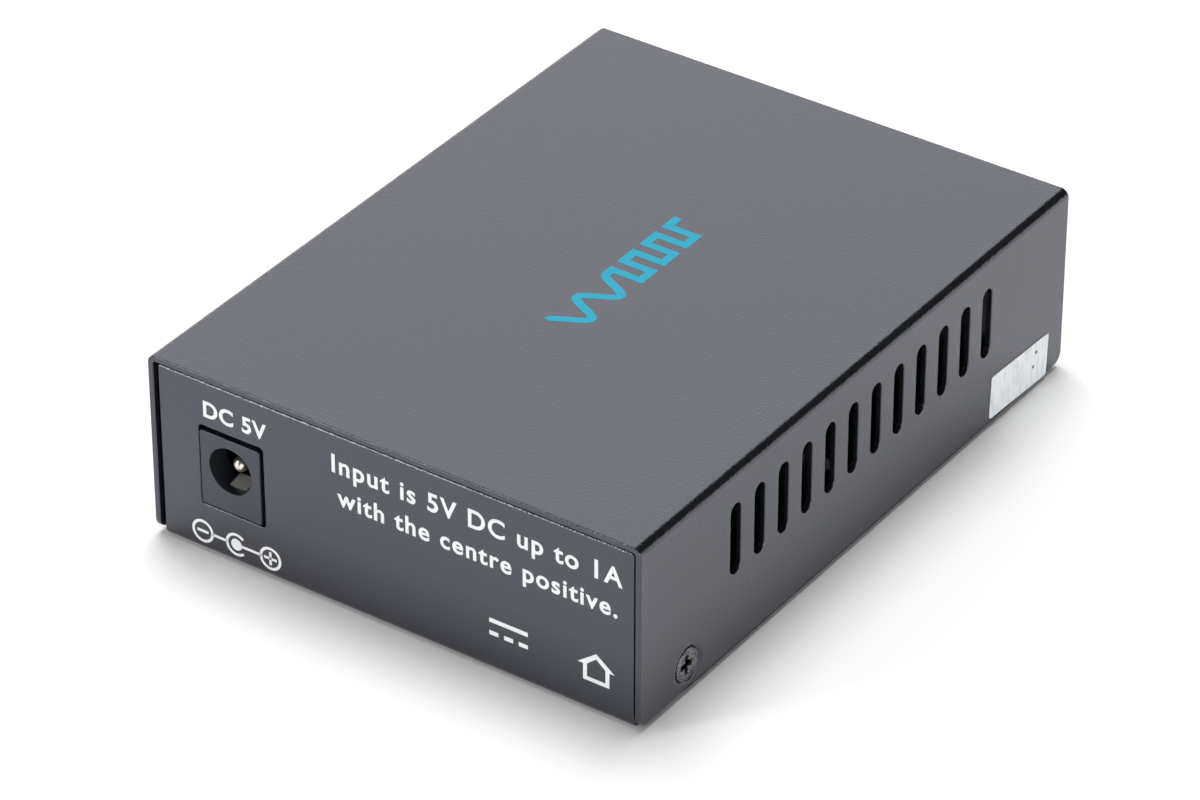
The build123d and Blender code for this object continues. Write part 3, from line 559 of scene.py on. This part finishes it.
def arc(centre, radius, start, end, count=40):
    """Points on a circle between two angles in degrees"""
    steps = [radians(start + (end - start) * step / count) for step in range(count + 1)]
    return [(centre[0] + radius * cos(t), centre[1] + radius * sin(t)) for t in steps]


def disc(centre, radius):
    """Outline of a round field"""
    return arc(centre, radius, 0, 360)[:-1]


def ring(centre, radius, stroke):
    """Outlines of a ring of that outer radius"""
    return [disc(centre, radius), disc(centre, radius - stroke)]


def ribbon(points, stroke):
    """Outline of a stroke along a line of points, with mitred corners"""
    line = [Vector(point) for point in points]
    sides = []
    for start, end in zip(line, line[1:]):
        run = (end - start).normalized()
        sides.append(Vector((-run.y, run.x)))
    steps = []
    for before, after in zip(sides[:1] + sides, sides + sides[-1:]):
        steps.append((before + after) * (stroke / 2 / (1 + before.dot(after))))
    left = [tuple(point + step) for point, step in zip(line, steps)]
    right = [tuple(point - step) for point, step in zip(line, steps)]
    return left + right[::-1]


def polarity_sign():
    """Minus ring, open ring with a dot and plus ring in one row, joined by lines: the pin is positive"""
    stroke = POLARITY_STROKE
    step = POLARITY_STEP
    radius = POLARITY_RADIUS
    minus = POLARITY_MINUS
    plus = POLARITY_PLUS
    open_ring = arc((0, 0), radius, 45, 315) + arc((0, 0), radius - stroke, 315, 45)
    return [
        ring((-step, 0), radius, stroke) + [ribbon([(-step - minus, 0), (-step + minus, 0)], stroke)],
        [ribbon([(-step + radius - stroke / 2, 0), (-radius + stroke / 2, 0)], stroke)],
        [open_ring],
        [disc((0, 0), POLARITY_DOT)],
        [ribbon([(POLARITY_LINE, 0), (step - radius + stroke / 2, 0)], stroke)],
        ring((step, 0), radius, stroke),
        [ribbon([(step - plus, 0), (step + plus, 0)], stroke)],
        [ribbon([(step, -plus), (step, plus)], stroke)],
    ]


def current_sign():
    """Straight line over three dashes: direct current"""
    outlines = [ribbon([(-CURRENT_LINE, CURRENT_ROW), (CURRENT_LINE, CURRENT_ROW)], CURRENT_STROKE)]
    for middle in (-CURRENT_STEP, 0, CURRENT_STEP):
        dash = [(middle - CURRENT_DASH, -CURRENT_ROW), (middle + CURRENT_DASH, -CURRENT_ROW)]
        outlines.append(ribbon(dash, CURRENT_STROKE))
    return outlines


def gabled(side, ridge):
    """Outline of a gable from the points of its right side and the height of its ridge"""
    left_side = [(-across, up) for across, up in side]
    return [left_side[0], *side, (0, ridge), *left_side[:0:-1]]


def house_sign():
    """House outline: for use indoors"""
    return [gabled(HOUSE_OUTSIDE, HOUSE_RIDGE), gabled(HOUSE_INSIDE, HOUSE_CEILING)]


def pulse_motif():
    """Outline of a stroke that starts as square pulses and ends as a smooth wave"""
    half = PULSE_HEIGHT / 2
    line = [(MOTIF_START, -half)]
    for number in range(PULSE_COUNT):
        left = MOTIF_START + (2 * number + 1) * PULSE_WIDTH
        line += [(left, -half), (left, half), (left + PULSE_WIDTH, half), (left + PULSE_WIDTH, -half)]
    wave_start = line[-1][0] + PULSE_WIDTH / 2
    for step in range(WAVE_STEPS + 1):
        turns = WAVE_COUNT * step / WAVE_STEPS
        line.append((wave_start + WAVE_LENGTH * turns, -half * cos(2 * pi * turns)))
    return [ribbon(line, MOTIF_STROKE)]


def print_rear_panel(ink):
    """White marks round the inlet and on the free half of the panel"""
    rating = lettering("DC 5V", RATING_HEIGHT, RATING_SPREAD, RATING_WEIGHT)
    printed("inlet_rating", rating, on_rear_panel(*RATING_PLACE), ink)
    for number, (words, across, up, height) in enumerate(LEGEND_LINES):
        curve = lettering(words, height, LEGEND_SPREAD, LEGEND_WEIGHT)
        printed("input_legend_%d" % (number + 1), curve, on_rear_panel(across, up), ink)
    for number, outlines in enumerate(polarity_sign()):
        curve = closed_outlines(outlines)
        printed("polarity_mark_%d" % (number + 1), curve, on_rear_panel(*POLARITY_PLACE), ink)
    printed("current_sign", closed_outlines(current_sign()), on_rear_panel(*CURRENT_PLACE), ink)
    printed("house_sign", closed_outlines(house_sign()), on_rear_panel(*HOUSE_PLACE), ink)


def print_label(ink):
    """Two small dots near the front end of the paper label"""
    for number, dot in enumerate(LABEL_DOTS):
        curve = closed_outlines([disc(dot, LABEL_DOT)])
        printed("label_dot_%d" % (number + 1), curve, on_label(*LABEL_PLACE), ink)


def print_roof(ink):
    """Teal motif in the middle of the roof"""
    printed("pulse_motif", closed_outlines(pulse_motif()), on_roof(*MOTIF_PLACE), ink)


def outwards(bearing, height):
    """Direction from the object: degrees from the front towards the right wall, and above the floor"""
    turn = radians(bearing)
    rise = radians(height)
    return Vector((sin(turn) * cos(rise), -cos(turn) * cos(rise), sin(rise)))


def camera():
    """Long lens from the rear left, looking down"""
    back = outwards(VIEW_AZIMUTH, VIEW_ELEVATION)
    lens = bpy.data.cameras.new("camera")
    lens.lens = VIEW_LENS
    lens.sensor_width = SENSOR_WIDTH
    lens.clip_start = 0.01
    eye = bpy.data.objects.new("camera", lens)
    eye.location = (Vector(VIEW_AIM) + back * VIEW_DISTANCE) * MM
    eye.rotation_mode = "QUATERNION"
    eye.rotation_quaternion = (-back).to_track_quat("-Z", "Y")
    scene.collection.objects.link(eye)
    scene.camera = eye


def softbox(name, bearing, height, distance, size, radiance, lean=0, mirrored=True):
    """Flat lamp that faces the object, as bright as that many times white paper, with its distance and size
    in metres. It leans sideways by that many degrees. One that isn't mirrored lights matt surfaces only"""
    out = outwards(bearing, height)
    lamp = bpy.data.lights.new(name, "AREA")
    lamp.shape = "RECTANGLE"
    lamp.size, lamp.size_y = size
    lamp.energy = radiance * pi * size[0] * size[1]
    box = bpy.data.objects.new(name, lamp)
    box.location = out * distance
    box.visible_glossy = mirrored
    box.rotation_mode = "QUATERNION"
    box.rotation_quaternion = (-out).to_track_quat("-Z", "Y") @ Quaternion((0, 0, 1), radians(lean))
    scene.collection.objects.link(box)


def room():
    """Dim grey studio, darker towards the front left, which the bend of the left wall mirrors"""
    world = bpy.data.worlds.new("studio")
    world.use_nodes = True
    tree = world.node_tree
    tree.nodes.clear()
    away = add(tree, "ShaderNodeTexCoord").outputs["Generated"]
    turn = add(tree, "ShaderNodeVectorMath", {0: away, 1: DARK_CORNER}, operation="DOT_PRODUCT")
    level = ranged(tree, turn.outputs["Value"], 0.5, 0.9, ROOM_LEVEL, CORNER_LEVEL)
    walls = add(tree, "ShaderNodeBackground", {"Strength": level})
    add(tree, "ShaderNodeOutputWorld", {"Surface": walls.outputs["Background"]})
    scene.world = world


def white_paper():
    """White paper: matt, so that it keeps the object's shadow, and further out plain white to the eye and in
    mirrors"""
    material, tree, place = blank_material("white_paper")
    ray = add(tree, "ShaderNodeLightPath")
    seen = reckoned(tree, "ADD", ray.outputs["Is Camera Ray"], ray.outputs["Is Glossy Ray"])
    shown = reckoned(tree, "ADD", seen, ray.outputs["Is Transmission Ray"])
    away = add(tree, "ShaderNodeVectorMath", {0: place}, operation="LENGTH")
    glow = ranged(tree, away.outputs["Value"], GLOW_START, GLOW_FULL, GLOW_NEAR, 1.0)
    level = reckoned(tree, "MULTIPLY", shown, glow)
    matt = add(tree, "ShaderNodeBsdfDiffuse", {"Color": linear("f6f6f6")})
    lift = add(tree, "ShaderNodeEmission", {"Strength": level})
    both = add(tree, "ShaderNodeAddShader", {0: matt.outputs["BSDF"], 1: lift.outputs["Emission"]})
    add(tree, "ShaderNodeOutputMaterial", {"Surface": both.outputs["Shader"]})
    return material


def paper_floor(paper):
    """Square floor with a low wall far away"""
    reach = FLOOR_REACH
    corners = ((-reach, -reach), (reach, -reach), (reach, reach), (-reach, reach))
    points = [(*corner, height) for height in (-FLOOR_DROP, WALL_HEIGHT) for corner in corners]
    walls = [(side, side + 4, (side + 1) % 4 + 4, (side + 1) % 4) for side in range(4)]
    mesh = bpy.data.meshes.new("floor")
    mesh.from_pydata(points, [], [(0, 1, 2, 3)] + walls)
    mesh.materials.append(paper)
    floor = bpy.data.objects.new("floor", mesh)
    scene.collection.objects.link(floor)


def studio():
    """Softboxes over a white floor: the back one greys the roof, the key lights the floor from above, the
    edge one is a strip for the panels' top edges, and the fill lights the walls near the camera"""
    softbox("back_softbox", bearing=46, height=34, distance=1.3, size=(1.3, 1.05), radiance=1.5)
    softbox("key_softbox", bearing=34, height=80, distance=1.5, size=(0.9, 0.9), radiance=8.6, mirrored=False)
    softbox("edge_softbox", bearing=147, height=20, distance=1.2, size=(0.13, 0.8), radiance=13.0, lean=15)
    softbox("fill_softbox", bearing=235, height=9, distance=1.4, size=(1.4, 0.35), radiance=5.5)
    room()
    paper_floor(white_paper())


dress_housing()
dress_ports(along=(1.0, 0.12, 1.0))
dress_board(upright=(1.0, 1.0, 0.15), even=(1.0, 1.0, 1.0))
round_edges("cover", SHEET_EDGE)
round_edges("base_tray", PANEL_TOP_EDGE, panel_weights())
round_edges("dc_jack_housing", MOULDED_EDGE)
round_edges("cover_screws", SCREW_EDGE)
print_rear_panel(screen_ink("white_print", "eceef0", "f6f7f8"))
print_label(screen_ink("grey_print", "4c5056", "5c6066"))
print_roof(screen_ink("teal_print", "0091ad", "009cb9"))
camera()
studio()
scene.view_settings.view_transform = "Standard"
